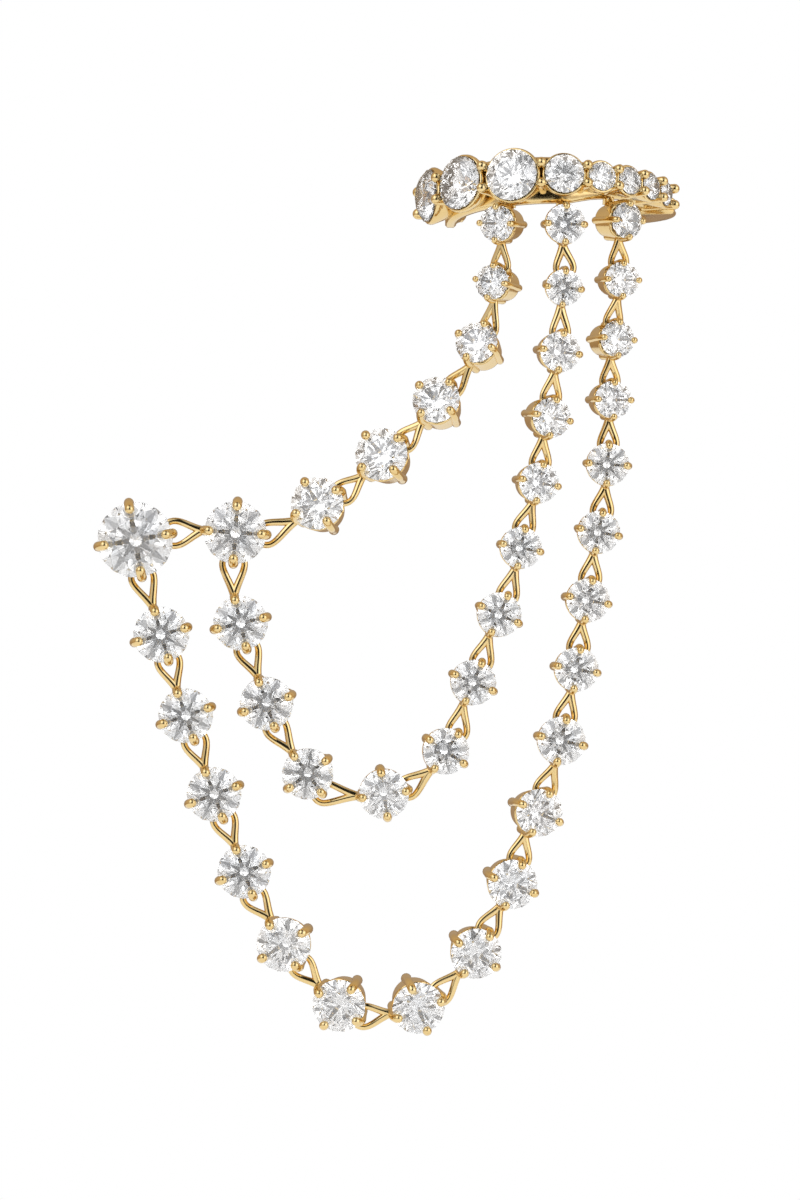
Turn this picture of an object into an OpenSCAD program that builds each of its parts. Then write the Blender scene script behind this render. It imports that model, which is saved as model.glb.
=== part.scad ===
// Ear chain earring: an open ear cuff set with a row of graduated round stones, three
// strands of claw-set stones that hang from its front, and two stone studs at their ends.
// Millimetres, +Z up. Azimuth 0 looks along +Y at the front of the stones.
// The origin is where the first stud's post enters the lobe.

/* [Stones] */
// Diameter of the largest stone in the strands
strand_stone_d = 2.8; // [2.5:0.05:3]
// Diameter of the first stud's stone
first_stud_stone_d = 3.8; // [3.3:0.1:4.2]
// Diameter of the second stud's stone
second_stud_stone_d = 3.15; // [2.8:0.05:3.5]
// Diameter of the largest stone on the ear cuff
cuff_stone_d = 2.72; // [2.4:0.04:2.8]
// Gap between a stone and the metal round it
seat_gap = 0.03; // [0.02:0.005:0.04]

/* [Claw settings] */
// Diameter of the claw wire on the largest stone in the strands
claw_d = 0.53; // [0.46:0.01:0.56]
// Diameter of a stud's claw wire
stud_claw_d = 0.55; // [0.48:0.01:0.6]
// How far behind the girdle the front edge of the collar between the claws lies
collar_set_back = 0.2; // [0.15:0.05:0.4]
// Height of the low rail that joins a stud's claws
rail_h = 0.44; // [0.36:0.02:0.5]
// Wall of the collars and rails
collar_wall = 0.24; // [0.18:0.01:0.3]

/* [Loops] */
// Wire diameter of the loop behind each link
loop_wire_d = 0.3; // [0.22:0.01:0.32]
// How far behind the girdle a loop lies on the smallest of stones
loop_set_back = 0.45; // [0.42:0.01:0.5]

/* [Ear cuff] */
// Inner diameter of the ear cuff
cuff_inner_d = 9.3; // [8.8:0.1:10]
// Wall of the cuff's band under the stones
band_wall = 0.55; // [0.45:0.05:0.7]
// Height of the band under the largest stones
band_h = 2.4; // [2.2:0.1:2.6]
// Height of the plain ridged shank
shank_h = 0.84; // [0.75:0.03:0.93]
// Width of one groove between the shank's ridges
groove_w = 0.14; // [0.1:0.02:0.18]
// How far the cuff's front is lifted, in degrees
cuff_tilt = 12.4; // [8:0.2:16]

/* [Studs] */
// Diameter of the posts
post_d = 0.8; // [0.7:0.05:0.9]
// Length of the posts behind the settings
post_length = 10; // [9:0.5:11]
// Distance between the two piercings
piercing_distance = 5; // [4.8:0.1:6]
// How far the second stud sits above the first
second_stud_lift = 0.37; // [0:0.05:0.6]

/* [Places] */
// Height of the cuff's centre above the first stud
cuff_height = 16.95; // [16:0.25:19]
// Distance from the first stud to the cuff's centre, to the side
cuff_reach = 20.7; // [20:0.25:22]
// Distance from the lobe's front to the cuff's centre, front to back
cuff_set_back = 4.2; // [3.8:0.1:4.6]
// How far the middle strand hangs below the first stud
middle_hang = 12.8; // [12:0.2:14]
// How far the outer strand hangs below the first stud
outer_hang = 23.6; // [22:0.2:25]

/* [Hidden] */
$fn = 40;

// Proportions of a round brilliant, as shares of its diameter
table_share = 0.56;
crown_share = 0.15;
girdle_share = 0.03;
pavilion_share = 0.43;

// The cuff's row of stones, from left to right: each is a share of the largest
cuff_stones = [0.98, 1, 0.97, 0.73, 0.54, 0.52, 0.5, 0.48];
// Which of them stands nearest the front, its angle from the front, and the gap between two
// stones as a share of their mean diameter
front_stone = 2;
front_stone_angle = -17.3;
stone_spacing = 0.155;

// Outline of the band: how far to the right, and to the back, as a share of its inner radius,
// and its height there as a share of its height under the largest stones
band_to_right = [[-0.4, 1], [0.2, 0.96], [0.47, 0.7], [0.75, 0.5], [1.4, 0.4]];
band_to_back = [[0, 1], [0.4, 0.36]];
// Angle from the front at which the band ends on the left
band_from = -113;

// The settings soldered under the cuff, one for each strand:
// share of the largest strand stone, angle from the front, and how far it hangs below the
// row of stones, as a share of the band's height
strand_heads = [[0.66, -24, 1], [0.72, 7, 1.06], [0.66, 37, 0.86]];

// Links of each strand from the cuff down. The columns are the stone as a share of the
// largest, the turn against the strand, and where it faces, to the right and up, in degrees
upper_links = [
    [0.64, -1, -26, 6],
    [0.77, -3, -15, 19],
    [0.86, -2, -10, 18],
    [0.96, -2, -13, 13],
    [0.96, 2, -10, 12],
];
middle_links = [
    [0.66, -4, 4, -6],
    [0.73, -3, 12, 0],
    [0.72, -2, 20, -2],
    [0.73, 2, 12, 0],
    [0.75, 5, 6, 0],
    [0.8, -5, 3, 2],
    [0.82, -2, 3, 0],
    [0.84, 4, 6, -2],
    [0.9, -1, 2, -6],
    [0.92, -16, 0, -3],
    [0.96, -5, 0, -4],
    [0.98, 3, 0, 0],
];
outer_links = [
    [0.64, 3, 18, 0],
    [0.66, 1, 25, 2],
    [0.68, 3, 16, 0],
    [0.77, 2, 3, 0],
    [0.77, -3, 4, 0],
    [0.79, -2, 8, 0],
    [0.8, 1, 7, 0],
    [0.87, 2, 5, 0],
    [0.86, -6, 16, -3],
    [0.9, 2, 10, -8],
    [0.92, 3, 8, -10],
    [0.95, 0, 9, -15],
    [0.96, -12, -9, -12],
    [0.98, -3, -8, -5],
    [0.96, -5, 1, 0],
    [0.98, 0, 0, 0],
    [0.98, 1, 0, 0],
    [1, 0, 3, 0],
];

// Routes of the strands between the cuff and the studs, as chosen points. The columns are
// the share of the way to the side, and the height as a share of the strand's own height
// above the first stud, or below it of how far the strand hangs
upper_route = [[0.98, 0.81], [0.925, 0.63], [0.78, 0.455], [0.585, 0.29], [0.325, 0.12]];
middle_route = [
    [0.985, 0.6], [0.92, 0.18], [0.8, -0.29], [0.72, -0.56], [0.635, -0.83], [0.46, -0.99],
    [0.215, -0.91], [0.095, -0.64], [0.015, -0.32],
];
outer_route = [
    [0.98, 0.63], [0.96, 0.23], [0.92, -0.13], [0.865, -0.43], [0.765, -0.735], [0.69, -0.88],
    [0.58, -0.99], [0.42, -0.99], [0.3, -0.855], [0.22, -0.7], [0.1, -0.365], [0.05, -0.19],
];

// Room between two stones' edges: a fixed part, and a share of their mean diameter
loop_room = 0.6;
loop_share = 0.33;

// Heights and radii that follow from the sizes
main_depth = 1.3;
depth_share = 0.25;
claw_bend = 0.05;
collar_inset = 0.3;
foot_lift = 0.08;
foot_out = 0.03;
loop_set_share = 0.12;
loop_clearance = 0.05;
hook_room = 0.16;
band_r = cuff_inner_d / 2;
row_r = band_r + band_wall + cuff_stone_d * pavilion_share;
head_r = row_r + 0.1;
seat_wall = 0.12;
prong_lift = 0.2;

// The shank's outer and inner faces are circles with centres of their own, and it lies lower
// and more level than the row of stones
shank_outer_r = 5.2;
shank_outer_centre = [1.25, -0.3];
shank_inner_r = 4.43;
shank_inner_centre = [0.5, 1];
shank_from = 76;
shank_to = 125;
shank_tip_r = 5.67;
shank_drop = 0.2;
shank_turn = 8.4;
cuff_centre = [cuff_reach, cuff_set_back, cuff_height];

// Depth of a setting from the stone's girdle to the feet of its claws
function setting_depth(d) = main_depth + depth_share * d;

// A frame is a place, the directions that its stone faces to the right and up, its turn
// about the stone's axis, and the stone's diameter
function turned(v, a) = [v.x * cos(a) - v.y * sin(a), v.x * sin(a) + v.y * cos(a), v.z];
function tipped(v, a) = [v.x, v.y * cos(a) - v.z * sin(a), v.y * sin(a) + v.z * cos(a)];
function to_world(f, v) = f[0] + turned(tipped(turned(v, f[3]), 90 - f[2]), f[1]);
function facing(f) = to_world(f, [0, 0, 1]) - f[0];

// The turn that points a frame's own X along an angle seen from the front
function turn_along(angle, right, up) =
    let (across = sin(angle) / cos(up))
    atan2(across, (cos(angle) + across * sin(up) * sin(right)) / cos(right));

// Frames of the studs, whose claw feet rest on the lobe's front
first_stud_frame = [
    [0, -setting_depth(first_stud_stone_d), 0], 0, 0, 100, first_stud_stone_d,
];
second_stud_frame = [
    [piercing_distance, -setting_depth(second_stud_stone_d), second_stud_lift],
    0, 0, 86, second_stud_stone_d,
];

// The same stud, turned so that its first claw is the one on the right
function from_right(f) = [f[0], f[1], f[2], f[3] + 90, f[4]];

// Frames of the three settings soldered under the cuff
function head_frame(head) =
    [cuff_centre + [head_r * sin(head[1]), -head_r * cos(head[1]),
            head_r * cos(head[1]) * sin(cuff_tilt) - head[2] * band_h],
        head[1], 0, -92, head[0] * strand_stone_d];

// A smooth path through the points, and how far along it each sample lies
function blend(a, b, c, d, t) =
    0.5 * (2 * b + (c - a) * t + (2 * a - 5 * b + 4 * c - d) * t * t
        + (3 * b - a - 3 * c + d) * t * t * t);
function smooth(points, steps) =
    let (n = len(points) - 1)
    [for (i = [0:n - 1]) for (k = [0:steps - 1])
        blend(points[max(i - 1, 0)], points[i], points[i + 1], points[min(i + 2, n)],
            k / steps), points[n]];
function runs(points) =
    [for (i = 0, total = 0; i < len(points); i = i + 1,
        total = total + (i < len(points) ? norm(points[i] - points[i - 1]) : 0)) total];
function running_sum(values) =
    [for (i = 0, total = 0; i < len(values); total = total + values[i], i = i + 1)
        total + values[i]];

// The frames of a whole strand: its head on the cuff, its links, and the stud that holds
// its end. Links share the path's length in proportion to their stones
function strand(head, links, route, hang, end) =
    let (
        top = head[0],
        low = end[0],
        between = [for (p = route) [
            low.x + p[0] * (top.x - low.x),
            low.y + p[0] * (top.y - low.y),
            p[1] > 0 ? p[1] * top.z : p[1] * hang,
        ]],
        points = smooth([top, each between, low], 8),
        run = runs(points),
        stones = [head[4], for (link = links) link[0] * strand_stone_d, end[4]],
        pitches = [for (i = [1:len(stones) - 1])
            loop_room + (1 + loop_share) * (stones[i - 1] + stones[i]) / 2],
        shares = running_sum(pitches),
        stretch = run[len(run) - 1] / shares[len(shares) - 1],
        places = [top, for (i = [0:len(links) - 1]) [for (axis = [0:2])
            lookup(shares[i] * stretch, [for (k = [0:len(points) - 1]) [run[k], points[k][axis]]])],
            low]
    )
    [head, for (i = [1:len(links)])
        let (way = places[i + 1] - places[i - 1], link = links[i - 1])
        [places[i], link[2], link[3],
            turn_along(atan2(way.z, way.x), link[2], link[3]) + link[1], stones[i]],
        end];

upper_strand = strand(head_frame(strand_heads[0]), upper_links, upper_route, 0,
    from_right(second_stud_frame));
middle_strand = strand(head_frame(strand_heads[1]), middle_links, middle_route, middle_hang,
    second_stud_frame);
outer_strand = strand(head_frame(strand_heads[2]), outer_links, outer_route, outer_hang,
    first_stud_frame);

// Frames of the cuff's row of stones, before the cuff is tilted and put in its place
function row_stone(i) = cuff_stones[i] * cuff_stone_d;
function row_step(i) =
    (row_stone(i) + row_stone(i + 1)) / 2 * (1 + stone_spacing) / row_r * 180 / PI;
function row_angle(i) =
    i == front_stone ? front_stone_angle
    : i > front_stone ? row_angle(i - 1) + row_step(i - 1)
    : row_angle(i + 1) - row_step(i);

// A link's claws are as thick for their stone as those of the largest
function link_claw(d) = claw_d * d / strand_stone_d;

// Distance of a claw's axis from the stone's axis, at a height above the girdle
function claw_foot_r(d, wire) = d / 2 + foot_out - wire / 2;
function claw_bend_r(d, wire) = d / 2 + wire / 8;
function claw_r(d, wire, z) =
    let (foot_z = wire / 2 - setting_depth(d))
    claw_foot_r(d, wire)
        + (claw_bend_r(d, wire) - claw_foot_r(d, wire)) * (z - foot_z) / (claw_bend - foot_z);

// How far behind the girdle the loop round a claw lies, and the radius of its round end
function loop_depth(d) = loop_set_back + loop_set_share * d;
function loop_r(d) = 0.17 * d + 0.3 * loop_wire_d;

module in_frame(f) translate(f[0]) rotate([90 - f[2], 0, f[1]]) rotate([0, 0, f[3]]) children();

module in_cuff() translate(cuff_centre) rotate([-cuff_tilt, 0, 0]) children();

// Turns and moves what is drawn on X, with Z up, onto a line and its upward direction
module along_line(from, way, up) {
    z = up / norm(up);
    x = way / norm(way);
    y = cross(z, x);
    multmatrix([
        [x.x, y.x, z.x, from.x],
        [x.y, y.y, z.y, from.y],
        [x.z, y.z, z.z, from.z],
    ]) children();
}

// A round rod between two points in the XZ plane
module rod(a, b, d) {
    translate([a.x, 0, a.y])
        rotate([0, atan2(b.x - a.x, b.y - a.y), 0])
            cylinder(h = norm(b - a), d = d);
}

module ball(at, d) translate([at.x, 0, at.y]) sphere(d = d);

// A round brilliant: table, 8 star, 8 kite and 16 upper girdle facets, a faceted girdle,
// 16 lower girdle facets and 8 pavilion mains
module brilliant(d) {
    r = d / 2;
    crown = crown_share * d;
    edge = girdle_share * d / 2;
    deep = pavilion_share * d;
    star_r = 0.76 * r;
    star_z = edge + crown * (r - star_r * cos(22.5)) / (r - table_share * r);
    main_r = 0.24 * r;
    main_z = -edge - deep * (1 - main_r * cos(22.5) / r);
    function ring(count, first, radius, z) =
        [for (i = [0:count - 1]) let (a = first + 360 * i / count)
            [radius * cos(a), radius * sin(a), z]];
    table = 0;
    star = 8;
    top = 16;
    low = 32;
    main = 48;
    culet = 56;
    points = [
        each ring(8, 0, table_share * r, edge + crown),
        each ring(8, 22.5, star_r, star_z),
        each ring(16, 0, r, edge),
        each ring(16, 0, r, -edge),
        each ring(8, 22.5, main_r, main_z),
        [0, 0, -edge - deep],
    ];
    faces = [
        [for (i = [7:-1:0]) table + i],
        for (i = [0:7]) let (n = (i + 1) % 8, m = (i + 7) % 8) each [
            [table + i, table + n, star + i],
            [table + i, star + i, top + 2 * i, star + m],
            [star + i, top + 2 * i + 1, top + 2 * i],
            [star + i, top + (2 * i + 2) % 16, top + 2 * i + 1],
            [main + i, low + 2 * i, low + 2 * i + 1],
            [main + i, low + 2 * i + 1, low + (2 * i + 2) % 16],
            [culet, main + m, low + 2 * i, main + i],
        ],
        for (i = [0:15]) let (n = (i + 1) % 16) [top + i, top + n, low + n, low + i],
    ];
    polyhedron(points = points, faces = faces);
}

// The space that a stone takes in its setting, open above
module stone_space(d) {
    r = d / 2 + seat_gap;
    edge = girdle_share * d / 2 + seat_gap;
    crown = crown_share * d;
    rotate_extrude()
        polygon([
            [0, -edge - pavilion_share * d], [r, -edge], [r, edge],
            [table_share * r, edge + crown], [0, edge + crown],
        ]);
}

// One claw: a foot behind the stone, a leg that leans out to the girdle, and a bead that
// bends in over the crown
module claw(d, wire) {
    reach = max(0.12, 0.15 * d - 0.12);
    foot = [claw_foot_r(d, wire), wire / 2 - setting_depth(d)];
    bend = [claw_bend_r(d, wire), claw_bend];
    tip = [bend.x - reach, crown_share * d * (reach - wire / 4) / (d / 2 * (1 - table_share))
        + 0.6 * wire];
    ball(foot, 1.08 * wire);
    rod(foot, bend, wire);
    ball(bend, 1.04 * wire);
    rod(bend, tip, 0.96 * wire);
    ball(tip, 1.1 * wire);
}

// The wall behind the stone that joins the claws, inside their line by a share of their wire,
// with its front edge scalloped between them
module collar(d, wire, high) {
    low = foot_lift - setting_depth(d);
    low_r = claw_r(d, wire, low) - collar_inset * wire;
    high_r = claw_r(d, wire, high) - collar_inset * wire;
    difference() {
        rotate_extrude()
            polygon([
                [low_r - collar_wall / 2, low], [low_r + collar_wall / 2, low],
                [high_r + collar_wall / 2, high], [high_r - collar_wall / 2, high],
            ]);
        for (a = [45:90:315])
            rotate([0, 0, a])
                translate([0, 0, high + 0.18 * d])
                    rotate([0, 90, 0])
                        cylinder(h = d, r = 0.26 * d);
    }
}

// The room in a link's collar for the loop that goes round its first claw
module hook_space(d) {
    room = 2 * (loop_r(d) + loop_wire_d / 2 + hook_room);
    translate([-d, -room / 2, -loop_depth(d) - loop_wire_d / 2 - hook_room])
        cube([d, room, d]);
}

// Four claws and what is soldered to them, with the stone's space cut out
module setting(d, wire) {
    difference() {
        union() {
            for (a = [0:90:270])
                rotate([0, 0, a]) claw(d, wire);
            children();
        }
        stone_space(d);
    }
}

// The drop-shaped wire loop behind a setting: soldered to its own last claw, and hooked
// round the first claw of the next setting
module loop_to(own, own_wire, next, next_wire) {
    own_z = -loop_depth(own[4]);
    next_z = -loop_depth(next[4]);
    from = to_world(own, [claw_r(own[4], own_wire, own_z) + own_wire / 4, 0, own_z]);
    claw_axis = to_world(next, [-claw_r(next[4], next_wire, next_z), 0, next_z]);
    leg = facing(next);
    to_claw = claw_axis - from;
    across = to_claw - (to_claw * leg) * leg;
    past = (next_wire + loop_wire_d) / 2 + loop_clearance;
    end = claw_axis + past * across / norm(across);
    way = (end - from) / norm(end - from);
    round_r = loop_r(own[4]);
    centre = norm(end - from) - round_r;
    lean = asin(round_r / centre);
    along_line(from, way, leg - (leg * way) * way) {
        translate([centre, 0, 0])
            rotate([0, 0, -90 - lean])
                rotate_extrude(angle = 180 + 2 * lean)
                    translate([round_r, 0])
                        circle(d = loop_wire_d);
        for (side = [-1, 1])
            rotate([0, 0, side * lean])
                rotate([0, 90, 0])
                    cylinder(h = centre * cos(lean) + 0.03, d = 0.96 * loop_wire_d);
    }
}

// Link i of a strand: its setting and the loop that holds the next link or the stud
module link(strand, i) {
    d = strand[i][4];
    wire = link_claw(d);
    color("gold") {
        in_frame(strand[i])
            setting(d, wire)
                difference() {
                    collar(d, wire, -collar_set_back);
                    hook_space(d);
                }
        loop_to(strand[i], wire, strand[i + 1],
            i < len(strand) - 2 ? link_claw(strand[i + 1][4]) : stud_claw_d);
    }
}

module upper_link(i) link(upper_strand, i);
module middle_link(i) link(middle_strand, i);
module outer_link(i) link(outer_strand, i);

module stone(f) color("white") in_frame(f) brilliant(f[4]);

module strand_stones(frames)
    for (i = [1:len(frames) - 2]) stone(frames[i]);

// A stud: its setting, with a plate across the feet and a post with a bevelled end
module stud(f) {
    back = -setting_depth(f[4]);
    color("gold") in_frame(f) setting(f[4], stud_claw_d) {
        collar(f[4], stud_claw_d, back + foot_lift + rail_h);
        translate([0, 0, back + foot_lift + 0.02])
            cylinder(h = 0.2, r = claw_foot_r(f[4], stud_claw_d));
        translate([0, 0, back - post_length + post_d / 4])
            cylinder(h = post_length - post_d / 4 + foot_lift + 0.1, d = post_d);
        translate([0, 0, back - post_length])
            cylinder(h = post_d / 4, d1 = post_d / 2, d2 = post_d);
    }
}

module first_stud() stud(first_stud_frame);
module second_stud() {
    stud(second_stud_frame);
    color("gold")
        loop_to(from_right(second_stud_frame), stud_claw_d, from_right(first_stud_frame),
            stud_claw_d);
}

module first_stud_stone() stone(first_stud_frame);
module second_stud_stone() stone(second_stud_frame);
module upper_stones() strand_stones(upper_strand);
module middle_stones() strand_stones(middle_strand);
module outer_stones() strand_stones(outer_strand);

// A place on the cuff, at an angle from the front, with Z pointing outward
module at_angle(a) rotate([90, 0, a]) children();

// A slice of the cuff between two angles from the front, up to 180 degrees apart
module slice(from, to) {
    far = 3 * cuff_inner_d;
    middle = (from + to) / 2;
    translate([0, 0, -cuff_inner_d / 2])
        linear_extrude(cuff_inner_d)
            polygon([[0, 0], for (a = [from, middle, to]) far * [sin(a), -cos(a)]]);
}

// A tapering outline, as high above as below, that begins level on its left
module taper(stages) {
    n = len(stages) - 1;
    left = [-2 * band_r, band_h / 2];
    right = [2 * band_r, stages[n][1] * band_h / 2];
    edge = [left, for (s = stages) [s[0] * band_r, s[1] * band_h / 2], right];
    polygon([each edge, for (i = [n + 2:-1:0]) [edge[i].x, -edge[i].y]]);
}

// The band behind the stones, which tapers to both ends and is rounded on the left
module band() {
    end_h = band_to_back[1][1] * band_h;
    intersection() {
        rotate_extrude()
            translate([band_r, -band_h / 2]) square([band_wall, band_h]);
        union() {
            slice(band_from, 0);
            slice(-1, shank_from + 4);
            at_angle(band_from) cylinder(h = 2 * band_r, d = end_h);
        }
        rotate([90, 0, 0])
            linear_extrude(4 * band_r, center = true) taper(band_to_right);
        rotate([90, 0, 90])
            linear_extrude(4 * band_r, center = true) taper(band_to_back);
    }
}

// One stone's seat on the band, which flares out to just below the girdle
module seat(i) {
    d = row_stone(i);
    deep = row_r - band_r - band_wall / 2;
    at_angle(row_angle(i))
        translate([0, 0, row_r - deep])
            cylinder(h = deep - 0.05 * d, r1 = 0.36 * d, r2 = d / 2 + seat_wall);
}

// Two prongs side by side at an angle, on stones whose mean diameter is d
module prong_pair(angle, d) {
    wire = 0.38 + 0.05 * d;
    for (side = [-1, 1])
        at_angle(angle) translate([0, side * (0.27 + 0.11 * d), 0]) {
            translate([0, 0, band_r + 0.6 * band_wall])
                cylinder(h = row_r + prong_lift - band_r - 0.6 * band_wall, d = wire);
            translate([0, 0, row_r + prong_lift]) sphere(d = 1.12 * wire);
        }
}

module prongs() {
    last = len(cuff_stones) - 1;
    for (i = [1:last])
        prong_pair(
            (row_stone(i) * row_angle(i - 1) + row_stone(i - 1) * row_angle(i))
                / (row_stone(i) + row_stone(i - 1)),
            (row_stone(i - 1) + row_stone(i)) / 2);
    prong_pair(row_angle(0) - row_step(0) / 2, row_stone(0));
    prong_pair(row_angle(last) + 0.55 * row_step(last - 1), row_stone(last));
}

// Round grooves between the shank's three ridges, at a radius
module shank_grooves(r)
    for (side = [-1, 1])
        rotate_extrude()
            translate([r, side * shank_h / 6]) circle(d = groove_w);

// The plain shank on the right: three ridges outside and inside, thinning to a rounded tip
module shank() {
    translate([0, 0, -shank_drop]) rotate([shank_turn, 0, 0]) {
        difference() {
            intersection() {
                translate(shank_outer_centre)
                    cylinder(h = shank_h, r = shank_outer_r, center = true);
                slice(shank_from, shank_to);
            }
            translate(shank_outer_centre) shank_grooves(shank_outer_r);
            translate(shank_inner_centre) {
                cylinder(h = 2 * shank_h, r = shank_inner_r, center = true);
                shank_grooves(shank_inner_r);
            }
        }
        rotate([0, 0, shank_to])
            translate([0, -shank_tip_r, 0]) sphere(d = 1.04 * shank_h);
    }
}

// A head soldered under the row, with the bar that joins it to the band
module strand_head(f) {
    d = f[4];
    in_frame(f) setting(d, link_claw(d)) {
        collar(d, link_claw(d), -collar_set_back);
        translate([0.1 - d / 2, 0, 0.2 - setting_depth(d)])
            rotate([0, -90, 0]) cylinder(h = 0.95, d = 0.6);
    }
}

module ear_cuff() {
    color("gold") difference() {
        union() {
            in_cuff() {
                band();
                for (i = [0:len(cuff_stones) - 1]) seat(i);
                prongs();
                shank();
            }
            for (strand = [upper_strand, middle_strand, outer_strand]) {
                strand_head(strand[0]);
                loop_to(strand[0], link_claw(strand[0][4]), strand[1],
                    link_claw(strand[1][4]));
            }
        }
        in_cuff()
            for (i = [0:len(cuff_stones) - 1])
                at_angle(row_angle(i)) {
                    translate([0, 0, row_r]) stone_space(row_stone(i));
                    cylinder(h = band_r + band_wall + 0.1, d = 0.5 * row_stone(i));
                }
        for (strand = [upper_strand, middle_strand, outer_strand])
            in_frame(strand[0]) stone_space(strand[0][4]);
    }
}

module cuff_stones() {
    color("white") in_cuff()
        for (i = [0:len(cuff_stones) - 1])
            at_angle(row_angle(i)) translate([0, 0, row_r]) brilliant(row_stone(i));
    for (strand = [upper_strand, middle_strand, outer_strand]) stone(strand[0]);
}

ear_cuff();
cuff_stones();
for (i = [1:len(upper_links)])
    upper_link(i);
for (i = [1:len(middle_links)])
    middle_link(i);
for (i = [1:len(outer_links)])
    outer_link(i);
upper_stones();
middle_stones();
outer_stones();
first_stud();
first_stud_stone();
second_stud();
second_stud_stone();
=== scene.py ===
"""Looks for the ear chain earring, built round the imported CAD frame. Metres, +Z up."""

import math

import bpy
import numpy as np
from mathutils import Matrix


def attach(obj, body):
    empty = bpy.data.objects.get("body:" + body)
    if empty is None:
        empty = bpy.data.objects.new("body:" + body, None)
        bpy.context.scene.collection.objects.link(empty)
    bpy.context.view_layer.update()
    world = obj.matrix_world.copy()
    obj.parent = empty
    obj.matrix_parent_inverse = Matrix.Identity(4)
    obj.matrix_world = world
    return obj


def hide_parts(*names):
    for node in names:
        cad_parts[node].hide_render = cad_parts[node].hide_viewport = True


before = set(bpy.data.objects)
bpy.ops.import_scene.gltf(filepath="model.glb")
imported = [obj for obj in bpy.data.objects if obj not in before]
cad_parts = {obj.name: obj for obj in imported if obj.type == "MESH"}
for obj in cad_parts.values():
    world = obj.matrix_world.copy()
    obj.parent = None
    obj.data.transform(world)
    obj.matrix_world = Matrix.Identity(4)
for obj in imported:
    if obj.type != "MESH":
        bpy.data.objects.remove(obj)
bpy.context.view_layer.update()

# Sizes that the looks share with the solids, in millimetres
MM = 0.001
STRAND_STONE = 2.8
FIRST_STUD_STONE = 3.8
SECOND_STUD_STONE = 3.15
CUFF_STONE = 2.72
LARGEST_CLAW = 0.53
STUD_CLAW = 0.55
CLAW_BEND = 0.05
FOOT_OUT = 0.03
FOOT_LIFT = 0.08
COLLAR_SET_BACK = 0.2
COLLAR_WALL = 0.24
RAIL_H = 0.44
LOOP_WIRE = 0.3
LOOP_CLEARANCE = 0.05
HOOK_ROOM = 0.16
POST_R = 0.4
POST_LENGTH = 10
PIERCING_DISTANCE = 5
SECOND_STUD_LIFT = 0.37
MIDDLE_HANG = 12.8
OUTER_HANG = 23.6
CUFF_CENTRE = np.array([20.7, 4.2, 16.95])
BAND_R = 4.65
BAND_WALL = 0.55
BAND_H = 2.4
SEAT_WALL = 0.12
PRONG_LIFT = 0.2
HEAD_OUT = 0.1

# A fixed part and a share of the stone's diameter: from the girdle to the claws' feet, from the
# girdle to the loop round a claw, and the wire's room between two stones
MAIN_DEPTH, DEPTH_SHARE = 1.3, 0.25
LOOP_SET_BACK, LOOP_SET_SHARE = 0.45, 0.12
LOOP_ROOM, LOOP_SHARE = 0.6, 0.33

# Shares of a stone's diameter: its table, crown, girdle and pavilion. The collar's inset is a
# share of the claw's
TABLE = 0.56
CROWN = 0.15
GIRDLE = 0.03
PAVILION = 0.43
COLLAR_INSET = 0.3

# The cuff's tilt in degrees, and its row of stones as shares of the largest
CUFF_TILT = 12.4
ROW_R = BAND_R + BAND_WALL + PAVILION * CUFF_STONE
CUFF_STONES = CUFF_STONE * np.array([0.98, 1, 0.97, 0.73, 0.54, 0.52, 0.5, 0.48])
FRONT_STONE = 2
FRONT_ANGLE = -17.3
STONE_SPACING = 0.155

# The band's outline: shares of its inner radius to the right and to the back, and its height
# there as a share of the full height
BAND_TO_RIGHT = [(-0.4, 1), (0.2, 0.96), (0.47, 0.7), (0.75, 0.5), (1.4, 0.4)]
BAND_TO_BACK = [(0, 1), (0.4, 0.36)]
BAND_FROM = -113

# The shank's two faces: circles with centres of their own. It lies lower and more level
SHANK_H = 0.84
SHANK_OUTER_R, SHANK_OUTER_CENTRE = 5.2, (1.25, -0.3)
SHANK_INNER_R, SHANK_INNER_CENTRE = 4.43, (0.5, 1)
SHANK_FROM, SHANK_TO = 76, 125
SHANK_TIP_R = 5.67
SHANK_DROP = 0.2
SHANK_TURN = 8.4

# Turns of the studs and of the heads, in degrees, that put the loops' claws where they hang
FIRST_STUD_TURN = 100
SECOND_STUD_TURN = 86
HEAD_TURN = -92

# Heads under the row: stone as a share of the largest, angle from the front, drop as a share
# of the band's height
HEADS = [(0.66, -24, 1), (0.72, 7, 1.06), (0.66, 37, 0.86)]

# Links from the cuff down: stone as a share of the largest, turn, facing right, facing up
UPPER_LINKS = [
    (0.64, -1, -26, 6),
    (0.77, -3, -15, 19),
    (0.86, -2, -10, 18),
    (0.96, -2, -13, 13),
    (0.96, 2, -10, 12),
]
MIDDLE_LINKS = [
    (0.66, -4, 4, -6),
    (0.73, -3, 12, 0),
    (0.72, -2, 20, -2),
    (0.73, 2, 12, 0),
    (0.75, 5, 6, 0),
    (0.8, -5, 3, 2),
    (0.82, -2, 3, 0),
    (0.84, 4, 6, -2),
    (0.9, -1, 2, -6),
    (0.92, -16, 0, -3),
    (0.96, -5, 0, -4),
    (0.98, 3, 0, 0),
]
OUTER_LINKS = [
    (0.64, 3, 18, 0),
    (0.66, 1, 25, 2),
    (0.68, 3, 16, 0),
    (0.77, 2, 3, 0),
    (0.77, -3, 4, 0),
    (0.79, -2, 8, 0),
    (0.8, 1, 7, 0),
    (0.87, 2, 5, 0),
    (0.86, -6, 16, -3),
    (0.9, 2, 10, -8),
    (0.92, 3, 8, -10),
    (0.95, 0, 9, -15),
    (0.96, -12, -9, -12),
    (0.98, -3, -8, -5),
    (0.96, -5, 1, 0),
    (0.98, 0, 0, 0),
    (0.98, 1, 0, 0),
    (1, 0, 3, 0),
]

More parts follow.
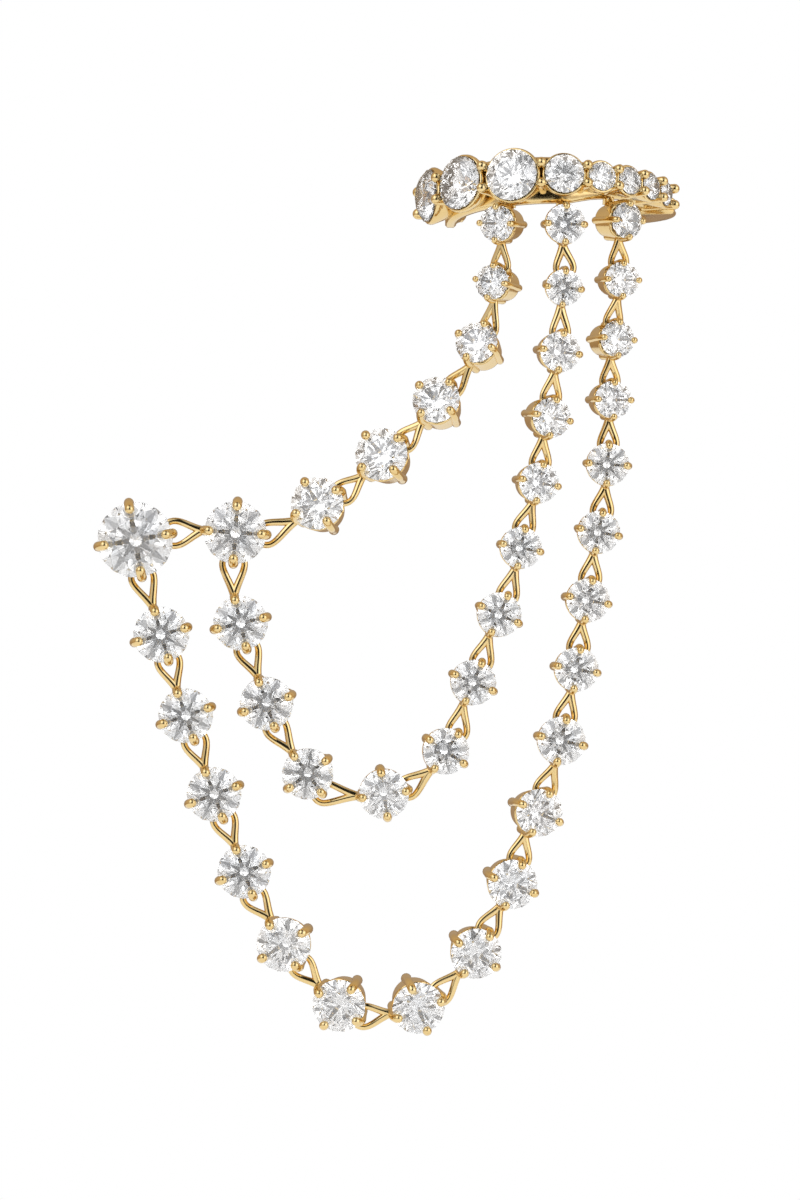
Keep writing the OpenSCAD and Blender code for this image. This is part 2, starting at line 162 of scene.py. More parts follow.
# Routes between the cuff and the studs: share of the way across, share of the height or hang
UPPER_ROUTE = [(0.98, 0.81), (0.925, 0.63), (0.78, 0.455), (0.585, 0.29), (0.325, 0.12)]
MIDDLE_ROUTE = [
    (0.985, 0.6), (0.92, 0.18), (0.8, -0.29), (0.72, -0.56), (0.635, -0.83), (0.46, -0.99),
    (0.215, -0.91), (0.095, -0.64), (0.015, -0.32),
]
OUTER_ROUTE = [
    (0.98, 0.63), (0.96, 0.23), (0.92, -0.13), (0.865, -0.43), (0.765, -0.735), (0.69, -0.88),
    (0.58, -0.99), (0.42, -0.99), (0.3, -0.855), (0.22, -0.7), (0.1, -0.365), (0.05, -0.19),
]

# The stage, in metres
CAMERA_AT = (0.013225, -0.6015, -0.003)
LIGHTS_AIM_AT = (0.013, 0, -0.003)
FLOOR_R = 0.25
FLOOR_Z = -0.06


def turn_z(degrees):
    """Matrix of a turn about Z."""
    c, s = math.cos(math.radians(degrees)), math.sin(math.radians(degrees))
    return np.array([[c, -s, 0], [s, c, 0], [0, 0, 1]])


def turn_x(degrees):
    """Matrix of a turn about X."""
    c, s = math.cos(math.radians(degrees)), math.sin(math.radians(degrees))
    return np.array([[1, 0, 0], [0, c, -s], [0, s, c]])


def unit(v):
    """Vectors scaled to length one along the last axis."""
    v = np.asarray(v, float)
    return v / np.linalg.norm(v, axis=-1, keepdims=True)


class Seat:
    """A stone's place: its girdle's centre, its own axes as columns, and its diameter."""

    def __init__(self, at, right, up, turn, d):
        self.at = np.asarray(at, float)
        self.right, self.up, self.turn, self.d = right, up, turn, d
        self.axes = turn_z(right) @ turn_x(90 - up) @ turn_z(turn)

    def world(self, points):
        """Points from the stone's own axes to the row frame."""
        return self.at + np.asarray(points, float) @ self.axes.T

    def from_right(self):
        """The same seat with the claw on its right as the first one."""
        return Seat(self.at, self.right, self.up, self.turn + 90, self.d)


def depth_of(d):
    """Distance from a stone's girdle to the feet of its claws."""
    return MAIN_DEPTH + DEPTH_SHARE * d


def turn_along(angle, right, up):
    """Turn that points a seat's own X along an angle seen from the front."""
    a, r, u = (math.radians(v) for v in (angle, right, up))
    across = math.sin(a) / math.cos(u)
    return math.degrees(
        math.atan2(across, (math.cos(a) + across * math.sin(u) * math.sin(r)) / math.cos(r))
    )


def head_seat(head):
    """Seat of a head under the row of stones."""
    share, az, drop = head
    r = ROW_R + HEAD_OUT
    a = math.radians(az)
    lift = r * math.cos(a) * math.sin(math.radians(CUFF_TILT)) - drop * BAND_H
    at = CUFF_CENTRE + [r * math.sin(a), -r * math.cos(a), lift]
    return Seat(at, az, 0, HEAD_TURN, share * STRAND_STONE)


def strand(head, links, route, hang, end):
    """Seats along a smooth path (Catmull-Rom through the chosen points) from the head on the
    cuff to the stud. Each pitch gets a share of the path in proportion to its two stones."""
    top, low = head.at, end.at
    between = [
        (
            low[0] + s * (top[0] - low[0]),
            low[1] + s * (top[1] - low[1]),
            h * top[2] if h > 0 else h * hang,
        )
        for s, h in route
    ]
    knots = np.array([top, *between, low])
    k = np.arange(len(knots) - 1)
    a, b = knots[np.maximum(k - 1, 0)], knots[k]
    c, d = knots[k + 1], knots[np.minimum(k + 2, len(knots) - 1)]
    t = (np.arange(8) / 8)[:, None, None]
    path = 0.5 * (
        2 * b + (c - a) * t + (2 * a - 5 * b + 4 * c - d) * t**2 + (3 * b - a - 3 * c + d) * t**3
    )
    path = np.vstack([path.transpose(1, 0, 2).reshape(-1, 3), low])
    run = np.concatenate([[0], np.cumsum(np.linalg.norm(np.diff(path, axis=0), axis=1))])
    stones = np.array([head.d, *(link[0] * STRAND_STONE for link in links), end.d])
    shares = np.cumsum(LOOP_ROOM + (1 + LOOP_SHARE) * (stones[:-1] + stones[1:]) / 2)
    along = shares[:-1] * run[-1] / shares[-1]
    places = np.column_stack([np.interp(along, run, path[:, axis]) for axis in range(3)])
    places = np.vstack([top, places, low])
    seats = [head]
    for i, (_, turn, right, up) in enumerate(links, 1):
        way = places[i + 1] - places[i - 1]
        angle = math.degrees(math.atan2(way[2], way[0]))
        seats.append(Seat(places[i], right, up, turn_along(angle, right, up) + turn, stones[i]))
    return [*seats, end]


def stud_seat(x, z, turn, d):
    """Seat of a stud whose claws' feet lie in the plane of the lobe, facing the front."""
    return Seat((x, -depth_of(d), z), 0, 0, turn, d)


FIRST_STUD = stud_seat(0, 0, FIRST_STUD_TURN, FIRST_STUD_STONE)
SECOND_STUD = stud_seat(PIERCING_DISTANCE, SECOND_STUD_LIFT, SECOND_STUD_TURN, SECOND_STUD_STONE)
UPPER = strand(head_seat(HEADS[0]), UPPER_LINKS, UPPER_ROUTE, 0, SECOND_STUD.from_right())
MIDDLE = strand(head_seat(HEADS[1]), MIDDLE_LINKS, MIDDLE_ROUTE, MIDDLE_HANG, SECOND_STUD)
OUTER = strand(head_seat(HEADS[2]), OUTER_LINKS, OUTER_ROUTE, OUTER_HANG, FIRST_STUD)


class Metal:
    """Closed shells gathered for one mesh: rows of points in millimetres, and their faces."""

    def __init__(self):
        self.points, self.faces, self.count = [], [], 0

    def add(self, points, faces):
        """Appends a shell whose faces count from its own first point."""
        self.points.append(points)
        self.faces += [tuple(i + self.count for i in f) for f in faces]
        self.count += len(points)

    def add_at(self, seat, shell):
        """Appends a shell drawn in a seat's own axes."""
        self.add(seat.world(shell[0]), shell[1])

    def piece(self, name, *nodes):
        """Makes the mesh, smooth shaded, in place of the CAD nodes."""
        mesh = bpy.data.meshes.new(name)
        mesh.from_pydata(np.vstack(self.points) * MM, [], self.faces)
        mesh.polygons.foreach_set("use_smooth", np.ones(len(self.faces), bool))
        mesh.materials.append(gold)
        mesh.update()
        obj = bpy.data.objects.new(name, mesh)
        bpy.context.scene.collection.objects.link(obj)
        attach(obj, "root")
        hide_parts(*nodes)


def tube_faces(rows, sides, closed):
    """Quads of a grid of rings. Open tubes are closed by a fan to a point at each end."""
    i, j = np.meshgrid(np.arange(rows if closed else rows - 1), np.arange(sides), indexing="ij")
    i2, j2 = (i + 1) % rows, (j + 1) % sides
    quads = np.stack([i * sides + j, i * sides + j2, i2 * sides + j2, i2 * sides + j], -1)
    faces = [tuple(q) for q in quads.reshape(-1, 4).tolist()]
    if not closed:
        first, last, base = rows * sides, rows * sides + 1, (rows - 1) * sides
        faces += [(first, (k + 1) % sides, k) for k in range(sides)]
        faces += [(last, base + k, base + (k + 1) % sides) for k in range(sides)]
    return faces


def wire(path, radii, across, sides=14, flat=1.0, ends=True):
    """A wire along a path that lies square to the direction across. Each ring is an ellipse:
    radius along the path's side, radius times flat along across. The ends are half balls, or
    cut straight where ends is off."""
    path, radii = np.asarray(path, float), np.asarray(radii, float)
    if ends:
        a = np.radians([88, 68, 45, 22])
        first, last = unit(path[0] - path[1]), unit(path[-1] - path[-2])
        path = np.vstack([
            path[0] + first * (radii[0] * np.sin(a))[:, None],
            path,
            path[-1] + last * (radii[-1] * np.sin(a[::-1]))[:, None],
        ])
        radii = np.concatenate([radii[0] * np.cos(a), radii, radii[-1] * np.cos(a[::-1])])
    way = unit(np.gradient(path, axis=0))
    side = unit(np.cross(way, across))
    up = np.cross(way, side)
    a = np.linspace(0, 2 * math.pi, sides, endpoint=False)[None, :, None]
    r = radii[:, None, None]
    rings = path[:, None] + r * (np.cos(a) * side[:, None] + flat * np.sin(a) * up[:, None])
    points = np.vstack([rings.reshape(-1, 3), path[0], path[-1]])
    return points, tube_faces(len(path), sides, False)


def revolved(profile, steps):
    """A closed profile of (radius, height) points, counter-clockwise, carried round Z."""
    a = np.linspace(0, 2 * math.pi, steps, endpoint=False)[:, None]
    r, z = np.asarray(profile, float).T
    points = np.stack([r * np.cos(a), r * np.sin(a), z + 0 * a], -1).reshape(-1, 3)
    return points, [f[::-1] for f in tube_faces(steps, len(profile), True)]


def link_claw(d):
    """Diameter of a link's claw wire, in proportion to its stone."""
    return LARGEST_CLAW * d / STRAND_STONE


def loop_depth(d):
    """How far behind the girdle the loop round a claw lies: a fixed part, and a share of d."""
    return LOOP_SET_BACK + LOOP_SET_SHARE * d


def loop_r(d):
    """Radius of the round end of the loop behind a stone."""
    return 0.17 * d + 0.3 * LOOP_WIRE


def claw_r(d, claw, z):
    """Distance of a claw's axis from the stone's axis at a height: straight from foot to bend."""
    foot_z = claw / 2 - depth_of(d)
    foot, bend = d / 2 + FOOT_OUT - claw / 2, d / 2 + claw / 8
    return foot + (bend - foot) * (z - foot_z) / (CLAW_BEND - foot_z)


def claw_shell(d, claw):
    """One claw: a leg that leans outwards, thins a little upwards, and bends over the girdle
    along a quadratic curve to a domed tip on the crown. The tip rises as the crown's slope does
    over the claw's reach, and by a part of the claw's own thickness."""
    low = claw / 2 - depth_of(d)
    foot = np.array([claw_r(d, claw, low), low])
    bend = np.array([d / 2 + claw / 8, CLAW_BEND])
    reach = max(0.12, 0.15 * d - 0.12)
    rise = CROWN * d * (reach - claw / 4) / (d / 2 * (1 - TABLE)) + 0.6 * claw
    tip = np.array([bend[0] - 0.9 * reach, rise])
    before = bend + (foot - bend) * 0.25
    top = bend + [-0.15 * claw, 0.14]
    t = np.linspace(0, 1, 7)[:, None]
    leg = foot + (before - foot) * np.linspace(0, 1, 5)[:, None]
    over = (1 - t) ** 2 * before + 2 * t * (1 - t) * top + t**2 * tip
    path = np.vstack([leg, over[1:]])
    path = np.column_stack([path[:, 0], 0 * path[:, 0], path[:, 1]])
    s = np.linspace(0, 1, len(path))
    radii = claw / 2 * np.interp(
        s, [0, 0.12, 0.3, 0.55, 0.72, 0.85, 1], [1.08, 0.98, 0.93, 0.9, 0.9, 0.93, 0.9]
    )
    return wire(path, radii, (0, 1, 0))


def collar_shell(d, claw, high, hooked=False):
    """The wall that joins the claws. Its cross-section is a straight-sided strip with softened
    edges. It leans as the claws do, inside their line, and keeps clear of the stone's cone.
    Between two claws the front edge dips along a circle, and where a loop goes round the first
    claw it is open down to the loop's own room."""
    low = FOOT_LIFT - depth_of(d)
    soft = 0.06
    side = COLLAR_WALL / 2 * np.array([-0.5, 0.5, 1, 1, 1, 1, 0.5, -0.5, -1, -1, -1, -1])
    inset = soft * np.array([0, 0, 1, 2, -2, -1, 0, 0, -1, -2, 2, 1])
    at_front = np.array([0, 0, 0, 0, 1, 1, 1, 1, 1, 1, 0, 0])
    a = np.linspace(0, 2 * math.pi, 120, endpoint=False)
    off_claw = (a + math.pi / 4) % (math.pi / 2) - math.pi / 4
    across = 0.46 * np.sin(math.pi / 4 - abs(off_claw))
    dip = d * np.clip(np.sqrt(np.clip(0.26**2 - across**2, 0, 1)) - 0.18, 0, 1)
    if hooked:
        bottom = -loop_depth(d) - LOOP_WIRE / 2 - HOOK_ROOM
        room = loop_r(d) + LOOP_WIRE / 2 + HOOK_ROOM
        half = math.asin(room / claw_r(d, claw, bottom))
        open_here = np.clip((half - abs(a - math.pi)) / math.radians(5) + 0.5, 0, 1)
        dip = np.maximum(dip, (high - bottom) * open_here**2 * (3 - 2 * open_here))
    top = (high - dip)[:, None]
    z = low + (top - low) * at_front + inset
    cone = d / 2 * (1 + (z + GIRDLE / 2 * d) / (PAVILION * d)) + 0.02
    r = np.maximum(claw_r(d, claw, z) - COLLAR_INSET * claw + side, cone)
    points = np.stack([r * np.cos(a)[:, None], r * np.sin(a)[:, None], z], -1)
    return points.reshape(-1, 3), [f[::-1] for f in tube_faces(len(a), len(side), True)]


def turned_shell(shell, degrees):
    """A shell turned about the stone's axis."""
    return shell[0] @ turn_z(degrees).T, shell[1]


def add_setting(metal, seat, claw, high, hooked=False):
    """Four claws and the collar of one seat."""
    for k in range(4):
        metal.add_at(seat, turned_shell(claw_shell(seat.d, claw), 90 * k))
    metal.add_at(seat, collar_shell(seat.d, claw, high, hooked))


def add_loop(metal, own, own_claw, after, after_claw):
    """The drop-shaped loop from a seat's last claw round the first claw of the next seat: two
    bulging sides that leave the claw together, and a round end past the next claw's leg. The
    wire is oval, wider in the loop's own plane, and thickens towards the claw it leaves."""
    own_z, after_z = -loop_depth(own.d), -loop_depth(after.d)
    start = own.world([claw_r(own.d, own_claw, own_z) + own_claw / 4, 0, own_z])
    axis = after.world([-claw_r(after.d, after_claw, after_z), 0, after_z])
    leg = after.axes[:, 2]
    across = unit((axis - start) - ((axis - start) @ leg) * leg)
    end = axis + ((after_claw + LOOP_WIRE) / 2 + LOOP_CLEARANCE) * across
    way = unit(end - start)
    up = unit(leg - (leg @ way) * way)
    side = np.cross(up, way)
    r = loop_r(own.d)
    centre = np.linalg.norm(end - start) - r
    lean = math.asin(r / centre)
    # half of the outline: a cubic curve from the claw to the widest point, then a half circle
    t = np.linspace(0, 1, 12)[:, None]
    p0, p3 = np.array([0, 0]), np.array([centre, r])
    p1 = centre * 0.42 * np.array([math.cos(0.75 * lean), math.sin(0.75 * lean)])
    p2 = np.array([centre - 0.7 * r, r])
    curve = (1 - t) ** 3 * p0 + 3 * t * (1 - t) ** 2 * p1 + 3 * t**2 * (1 - t) * p2 + t**3 * p3
    a = np.radians(np.linspace(90, -90, 15))[1:-1, None]
    bow = np.array([centre, 0]) + r * np.hstack([np.cos(a), np.sin(a)])
    outline = np.vstack([curve, bow, (curve * [1, -1])[::-1]])
    path = start + outline[:, :1] * way + outline[:, 1:] * side
    s = np.linspace(0, 1, len(path))
    radii = LOOP_WIRE * np.interp(
        s, [0, 0.12, 0.3, 0.7, 0.88, 1], [0.7, 0.62, 0.55, 0.55, 0.62, 0.7]
    )
    metal.add(*wire(path, radii, up, sides=12, flat=0.8))


def add_post(metal, seat):
    """A stud's post with a domed end, and the plate that carries it across the claws' feet."""
    back = -depth_of(seat.d)
    low, high, edge = back + 0.1, back + 0.3, 0.05
    post = [(0, 0, low + edge), (0, 0, back - POST_LENGTH / 2), (0, 0, back - POST_LENGTH + POST_R)]
    metal.add_at(seat, wire(post, [POST_R, POST_R, POST_R], (0, 1, 0), sides=32))
    r = claw_r(seat.d, STUD_CLAW, back + STUD_CLAW / 2)
    plate = [(0, low), (r - edge, low), (r, low + edge), (r, high - edge), (r - edge, high),
             (0, high)]
    metal.add_at(seat, revolved(plate, 48))


def in_cuff(points):
    """Points from the cuff's own level ring to the row frame: tilted, then moved."""
    return CUFF_CENTRE + np.asarray(points, float) @ turn_x(-CUFF_TILT).T


def ring_point(angle, r, z):
    """Points on the cuff's ring: angle from the front in degrees, radius and height."""
    a = np.radians(angle)
    return np.stack(np.broadcast_arrays(r * np.sin(a), -r * np.cos(a), z), -1)


def row_angles():
    """Angles of the row's stones, counted both ways from the front one: each step is the two
    stones' mean diameter and a share of it, along the row's circle."""
    pitches = (CUFF_STONES[:-1] + CUFF_STONES[1:]) / 2 * (1 + STONE_SPACING)
    steps = np.degrees(pitches / ROW_R)
    places = np.concatenate([[0], np.cumsum(steps)])
    return places - places[FRONT_STONE] + FRONT_ANGLE


ROW = row_angles()


def add_band(metal):
    """The band behind the stones: a rounded rectangle carried along the ring. Its height tapers
    to the right and to the back, and it closes as a half circle at the left end."""
    middle = BAND_R + BAND_WALL / 2
    end_h = BAND_TO_BACK[-1][1] * BAND_H
    round_off = math.degrees(end_h / 2 / middle)
    fine = round_off * (1 - np.cos(np.linspace(0, math.pi / 2, 10)))
    angle = np.concatenate([BAND_FROM - round_off + fine, np.linspace(BAND_FROM + 1, 80, 140)])
    x, y = ring_point(angle, middle, 0)[:, :2].T / BAND_R
    share = np.minimum(np.interp(x, *zip(*BAND_TO_RIGHT)), np.interp(y, *zip(*BAND_TO_BACK)))
    end = np.clip((BAND_FROM - angle) / round_off, 0, 1)
    half = BAND_H / 2 * share * np.sqrt(np.clip(1 - end**2, 0.0004, 1))
    inner, outer, edge = BAND_R, BAND_R + BAND_WALL, 0.12
    r = np.array([inner + edge, inner, inner, inner + edge, outer - edge, outer, outer,
                  outer - edge])
    level = np.array([-1, -1, 1, 1, 1, 1, -1, -1])
    inset = np.array([0, edge, edge, 0, 0, edge, edge, 0])
    z = level * (half[:, None] - np.minimum(inset, half[:, None] * 0.5))
    rings = ring_point(angle[:, None], r[None, :], z)
    points = np.vstack([rings.reshape(-1, 3), rings[0].mean(0), rings[-1].mean(0)])
    metal.add(in_cuff(points), tube_faces(len(angle), len(r), False))


def at_row(angle, points):
    """Points drawn round an outward axis at an angle on the cuff, to the row frame."""
    return in_cuff(np.asarray(points, float) @ (turn_z(angle) @ turn_x(90)).T)


def add_seat(metal, angle, d):
    """One stone's cup: outside a cone from the band to the rim, inside a light hole that opens
    into the slope that the stone's pavilion rests on."""
    deep = ROW_R - BAND_R - BAND_WALL / 2
    rim, bore = d / 2 + SEAT_WALL, 0.25 * d
    meet = GIRDLE * d / 2 + PAVILION * d * (1 - bore / (d / 2))
    profile = [
        (bore, -deep), (0.36 * d, -deep), (rim - 0.02, -0.12 * d - 0.06), (rim, -0.1 * d),
        (rim - 0.02, -0.06 * d), (rim - 0.07, -0.035 * d), (d / 2 - 0.01, -0.04 * d),
        (bore, -meet - 0.03),
    ]
    points, faces = revolved(profile, 56)
    metal.add(at_row(angle, points + [0, 0, ROW_R]), faces)


def add_prongs(metal, angle, d):
    """Two prongs side by side: round posts from the band, each with a domed bead on top."""
    r = (0.38 + 0.05 * d) / 2
    low, high = BAND_R + 0.6 * BAND_WALL, ROW_R + PRONG_LIFT
    apart = 0.27 + 0.11 * d
    z = np.array([low, high - 2.4 * r, high - 0.7 * r, high])
    for side in (-apart, apart):
        path = np.column_stack([0 * z, side + 0 * z, z])
        shell = wire(path, [r, r, 1.1 * r, 1.1 * r], (0, 1, 0), sides=18)
        metal.add(at_row(angle, shell[0]), shell[1])


def off_circle(angle, centre, r):
    """Distance from the ring's centre, along an angle, to a circle with its own centre."""
    a = np.radians(angle)
    off = centre[0] * np.sin(a) - centre[1] * np.cos(a)
    return off + np.sqrt(off**2 - (centre[0] ** 2 + centre[1] ** 2) + r**2)


def add_shank(metal):
    """The plain shank: a profile with three round ridges outside and inside, carried from the
    row's end to the tip. A ridge is a half wave raised to a power below one. The tip closes as
    a half ball, by scaling the profile with the square root of one less the distance squared."""
    ball = math.degrees(SHANK_H / 2 / SHANK_TIP_R)
    beyond = ball * np.sin(np.linspace(0, 1.55, 10))
    angle = np.concatenate([np.linspace(SHANK_FROM, SHANK_TO - 0.5, 60), SHANK_TO + beyond])
    outer = off_circle(angle, SHANK_OUTER_CENTRE, SHANK_OUTER_R)[:, None]
    inner = off_circle(angle, SHANK_INNER_CENTRE, SHANK_INNER_R)[:, None]
    v = np.linspace(-1, 1, 43)
    ridges = np.abs(np.sin(math.pi * (v + 1) * 1.5)) ** 0.6
    sunk = 0.13 * (1 - ridges)
    r = np.hstack([outer - sunk, inner + sunk[::-1]])
    z = SHANK_H / 2 * np.concatenate([v, v[::-1]])
    close = np.sqrt(np.clip(1 - np.clip((angle - SHANK_TO) / ball, 0, 1) ** 2, 0.0004, 1))[:, None]
    middle = (outer + inner) / 2
    r = middle + (r - middle) * close
    rings = ring_point(angle[:, None], r, z * close)
    points = np.vstack([rings.reshape(-1, 3), rings[0].mean(0), rings[-1].mean(0)])
    points = points @ turn_x(SHANK_TURN).T - [0, 0, SHANK_DROP]
    faces = [f[::-1] for f in tube_faces(len(angle), r.shape[1], False)]
    metal.add(in_cuff(points), faces)


def add_bar(metal, seat):
    """The soldered bar that joins a head to the band above it."""
    path = [(0.1 - seat.d / 2 - s, 0, 0.2 - depth_of(seat.d)) for s in (0, 0.5, 0.95)]
    metal.add_at(seat, wire(path, [0.3, 0.28, 0.3], (0, 1, 0), sides=20, ends=False))


def noise(nodes, links, coordinates, scale, detail):
    """A noise texture on object coordinates."""
    n = nodes.new("ShaderNodeTexNoise")
    n.inputs["Scale"].default_value = scale
    n.inputs["Detail"].default_value = detail
    links.new(coordinates, n.inputs["Vector"])
    return n


def ramp(nodes, links, value, stops):
    """A colour ramp over a value, from (place, colour) stops."""
    r = nodes.new("ShaderNodeValToRGB")
    r.color_ramp.elements[0].position, r.color_ramp.elements[0].color = stops[0]
    r.color_ramp.elements[1].position, r.color_ramp.elements[1].color = stops[-1]
    for place, colour in stops[1:-1]:
        r.color_ramp.elements.new(place).color = colour
    links.new(value, r.inputs["Fac"])
    return r


def polished_gold():
    """Polished yellow gold: warm cast in patches, faint buffing marks in gloss and bump."""
    material = bpy.data.materials.new("polished gold")
    material.use_nodes = True
    nodes, links = material.node_tree.nodes, material.node_tree.links
    shader = nodes["Principled BSDF"]
    shader.inputs["Metallic"].default_value = 1
    place = nodes.new("ShaderNodeTexCoord").outputs["Object"]
    cast = noise(nodes, links, place, 320, 3)
    colour = ramp(nodes, links, cast.outputs["Fac"], [
        (0.3, (0.83, 0.61, 0.27, 1)), (0.7, (0.89, 0.69, 0.35, 1)),
    ])
    links.new(colour.outputs["Color"], shader.inputs["Base Color"])
    marks = noise(nodes, links, place, 2600, 5)
    gloss = nodes.new("ShaderNodeMapRange")
    gloss.inputs["To Min"].default_value = 0.07
    gloss.inputs["To Max"].default_value = 0.2
    links.new(marks.outputs["Fac"], gloss.inputs["Value"])
    links.new(gloss.outputs["Result"], shader.inputs["Roughness"])
    bump = nodes.new("ShaderNodeBump")
    bump.inputs["Strength"].default_value = 0.06
    bump.inputs["Distance"].default_value = 0.00002
    links.new(marks.outputs["Fac"], bump.inputs["Height"])
    links.new(bump.outputs["Normal"], shader.inputs["Normal"])
    return material


def cut_diamond():
    """Cut diamond: clear, with its own high index. A tenth of it is pale and scatters light, and
    it has faint warm and cool tints in patches."""
    material = bpy.data.materials.new("cut diamond")
    material.use_nodes = True
    nodes, links = material.node_tree.nodes, material.node_tree.links
    shader = nodes["Principled BSDF"]
    shader.inputs["IOR"].default_value = 2.42
    shader.inputs["Transmission Weight"].default_value = 0.9
    shader.inputs["Roughness"].default_value = 0
    place = nodes.new("ShaderNodeTexCoord").outputs["Object"]
    tint = noise(nodes, links, place, 900, 2)
    colour = ramp(nodes, links, tint.outputs["Fac"], [
        (0.35, (0.99, 0.975, 0.955, 1)), (0.5, (1, 1, 1, 1)), (0.65, (0.955, 0.975, 1, 1)),
    ])
    links.new(colour.outputs["Color"], shader.inputs["Base Color"])
    return material


def pale_floor():
    """A plain pale floor with a faint mottle."""
    material = bpy.data.materials.new("pale floor")
    material.use_nodes = True
    nodes, links = material.node_tree.nodes, material.node_tree.links
    shader = nodes["Principled BSDF"]
    shader.inputs["Roughness"].default_value = 0.6
    place = nodes.new("ShaderNodeTexCoord").outputs["Object"]
    mottle = noise(nodes, links, place, 30, 4)
    colour = ramp(nodes, links, mottle.outputs["Fac"], [
        (0.3, (0.86, 0.86, 0.86, 1)), (0.7, (0.9, 0.9, 0.9, 1)),
    ])
    links.new(colour.outputs["Color"], shader.inputs["Base Color"])
    return material


def camera():
    """A long lens, level, looking along +Y: 60 mm of height at the strands fills the frame."""
    data = bpy.data.cameras.new("camera")
    data.sensor_width = 36
    data.lens = 360
    data.clip_start, data.clip_end = 0.01, 10
    obj = bpy.data.objects.new("camera", data)
    obj.location = CAMERA_AT
    obj.rotation_euler = (math.pi / 2, 0, 0)
    bpy.context.scene.collection.objects.link(obj)
    bpy.context.scene.camera = obj


def softbox(name, at, size, power):
    """A square soft light that faces the middle of the earring."""
    data = bpy.data.lights.new(name, "AREA")
    data.size, data.energy = size, power
    obj = bpy.data.objects.new(name, data)
    obj.location = at
    aim = np.array(LIGHTS_AIM_AT) - np.array(at)
    obj.rotation_euler = (
        math.acos(-aim[2] / np.linalg.norm(aim)), 0, math.atan2(aim[1], aim[0]) - math.pi / 2
    )
    bpy.context.scene.collection.objects.link(obj)


def grey(value):
    """A neutral colour."""
    return (value, value, value, 1)


def mixed(nodes, links, blend, factor, first, second):
    """Two colours blended. The factor is a number or the output of a node."""
    mix = nodes.new("ShaderNodeMix")
    mix.data_type, mix.blend_type = "RGBA", blend
    if isinstance(factor, (int, float)):
        mix.inputs["Factor"].default_value = factor
    else:
        links.new(factor, mix.inputs["Factor"])
    links.new(first, mix.inputs["A"])
    links.new(second, mix.inputs["B"])
    return mix.outputs["Result"]


def backdrop(nodes, links, colour, strength):
    """A backdrop shader of a colour."""
    shader = nodes.new("ShaderNodeBackground")
    shader.inputs["Strength"].default_value = strength
    links.new(colour, shader.inputs["Color"])
    return shader.outputs["Background"]


def level(nodes, links, value):
    """A direction's part from -1 to 1, moved to 0 to 1."""
    n = nodes.new("ShaderNodeMapRange")
    n.inputs["From Min"].default_value = -1
    links.new(value, n.inputs["Value"])
    return n.outputs["Result"]


def studio():
    """A white backdrop for the camera and for diffuse light. The metal sees a room with a light
    panel on each side of the front, a dark gap between them, a warm back and a warm floor. The
    stones' refracted rays see a pale room in light and grey bands, with a dark spot in front."""
    world = bpy.data.worlds.new("studio")
    bpy.context.scene.world = world
    world.use_nodes = True
    nodes, links = world.node_tree.nodes, world.node_tree.links
    nodes["Background"].inputs["Color"].default_value = (1, 1, 1, 1)
    seen = nodes["Background"].outputs["Background"]
    parts = nodes.new("ShaderNodeSeparateXYZ")
    links.new(nodes.new("ShaderNodeTexCoord").outputs["Generated"], parts.inputs["Vector"])

    def along(axis, *stops):
        value = level(nodes, links, parts.outputs[axis])
        return ramp(nodes, links, value, stops).outputs["Color"]

    panel = (0.91, 0.93, 1, 1)
    front = along("X", (0.0, grey(0.6)), (0.28, panel), (0.36, grey(0.01)), (0.62, grey(0.01)),
                  (0.7, panel), (1.0, grey(0.7)))
    back = along("Y", (0.5, (0.56, 0.42, 0.28, 1)), (0.75, (0.62, 0.5, 0.36, 1)),
                 (1.0, (0.45, 0.35, 0.25, 1)))
    behind = along("Y", (0.4, grey(0)), (0.55, grey(1)))
    round_room = mixed(nodes, links, "MIX", behind, front, back)
    height = along("Z", (0.0, (0.35, 0.25, 0.15, 1)), (0.4, (0.75, 0.65, 0.55, 1)), (0.6, grey(1)))
    for_metal = backdrop(nodes, links, mixed(nodes, links, "MULTIPLY", 1, round_room, height), 0.98)

    depth = along("Y", (0.0, grey(0.15)), (0.03, grey(0.25)), (0.05, grey(1)), (0.11, grey(0.8)),
                  (0.18, grey(1)), (0.28, grey(0.55)), (0.38, grey(1)), (0.5, grey(0.75)),
                  (0.6, grey(1)))
    across = along("X", (0.0, grey(0.7)), (0.2, grey(1)), (0.36, grey(0.8)), (0.5, grey(1)),
                   (0.64, grey(0.8)), (0.8, grey(1)), (1.0, grey(0.7)))
    height = along("Z", (0.0, grey(0.7)), (0.3, grey(0.95)), (0.5, grey(0.8)), (0.65, grey(1)))
    bands = mixed(nodes, links, "MULTIPLY", 1, depth, across)
    for_stones = backdrop(nodes, links, mixed(nodes, links, "MULTIPLY", 1, bands, height), 1.8)

    ray = nodes.new("ShaderNodeLightPath").outputs
    room = for_metal
    for kind, other in (("Is Transmission Ray", for_stones), ("Is Diffuse Ray", seen),
                        ("Is Camera Ray", seen)):
        mix = nodes.new("ShaderNodeMixShader")
        links.new(ray[kind], mix.inputs["Fac"])
        links.new(room, mix.inputs[1])
        links.new(other, mix.inputs[2])
        room = mix.outputs["Shader"]
    links.new(room, nodes["World Output"].inputs["Surface"])
    softbox("key light", (-0.25, -0.35, 0.4), 0.6, 0.9)
    softbox("fill light", (0.4, -0.25, 0.1), 0.4, 0.4)


def floor():
    """A pale round floor well below the earring, which hangs as it is worn."""
    a = np.linspace(0, 2 * math.pi, 96, endpoint=False)
    middle = LIGHTS_AIM_AT[0]
    rim = np.column_stack([middle + FLOOR_R * np.cos(a), FLOOR_R * np.sin(a), FLOOR_Z + 0 * a])
    mesh = bpy.data.meshes.new("floor")
    mesh.from_pydata(rim, [], [tuple(range(len(a)))])
    mesh.materials.append(pale_floor())
    obj = bpy.data.objects.new("floor", mesh)
    bpy.context.scene.collection.objects.link(obj)


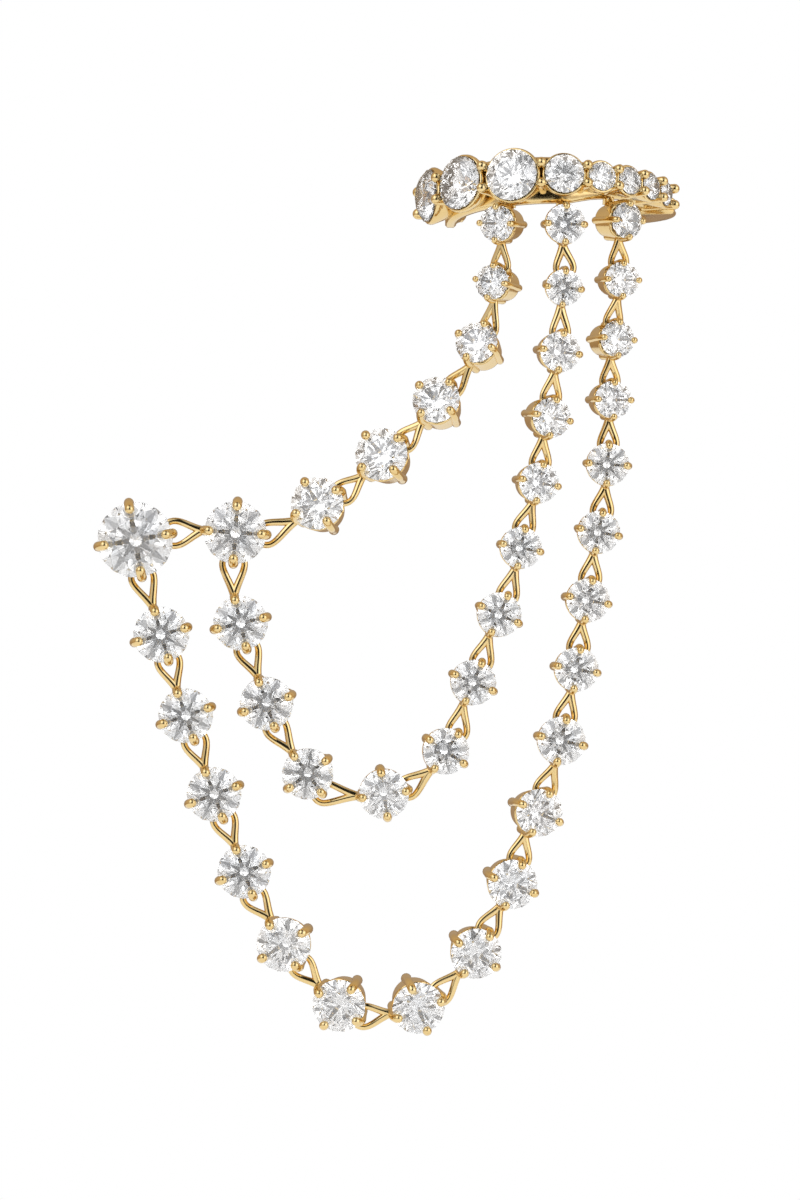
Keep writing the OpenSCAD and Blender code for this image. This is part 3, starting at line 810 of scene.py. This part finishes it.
gold = polished_gold()
diamond = cut_diamond()

# The stones keep their cut from the solids
for name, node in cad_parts.items():
    if name.endswith(("stones", "stone")):
        node.data.materials.clear()
        node.data.materials.append(diamond)

# The links of the three strands
for strand_name, seats in (("upper", UPPER), ("middle", MIDDLE), ("outer", OUTER)):
    for i in range(1, len(seats) - 1):
        link = Metal()
        claw = link_claw(seats[i].d)
        after_claw = link_claw(seats[i + 1].d) if i < len(seats) - 2 else STUD_CLAW
        add_setting(link, seats[i], claw, -COLLAR_SET_BACK, hooked=True)
        add_loop(link, seats[i], claw, seats[i + 1], after_claw)
        link.piece(f"{strand_name}_link_{i}_gold", f"{strand_name}_link_{i}")

# The studs
for stud_name, seat in (("first_stud", FIRST_STUD), ("second_stud", SECOND_STUD)):
    stud = Metal()
    add_setting(stud, seat, STUD_CLAW, FOOT_LIFT + RAIL_H - depth_of(seat.d))
    add_post(stud, seat)
    if stud_name == "second_stud":
        add_loop(stud, seat.from_right(), STUD_CLAW, FIRST_STUD.from_right(), STUD_CLAW)
    stud.piece(f"{stud_name}_gold", stud_name)

# The ear cuff with its three heads
cuff = Metal()
add_band(cuff)
for angle, d in zip(ROW, CUFF_STONES):
    add_seat(cuff, angle, d)
for i in range(1, len(ROW)):
    d, before = CUFF_STONES[i], CUFF_STONES[i - 1]
    add_prongs(cuff, (d * ROW[i - 1] + before * ROW[i]) / (d + before), (d + before) / 2)
add_prongs(cuff, ROW[0] - (ROW[1] - ROW[0]) / 2, CUFF_STONES[0])
add_prongs(cuff, ROW[-1] + 0.55 * (ROW[-1] - ROW[-2]), CUFF_STONES[-1])
add_shank(cuff)
for seats in (UPPER, MIDDLE, OUTER):
    head, first = seats[:2]
    add_setting(cuff, head, link_claw(head.d), -COLLAR_SET_BACK)
    add_bar(cuff, head)
    add_loop(cuff, head, link_claw(head.d), first, link_claw(first.d))
cuff.piece("ear_cuff_gold", "ear_cuff")

floor()
studio()
camera()
bpy.context.scene.view_settings.view_transform = "Standard"
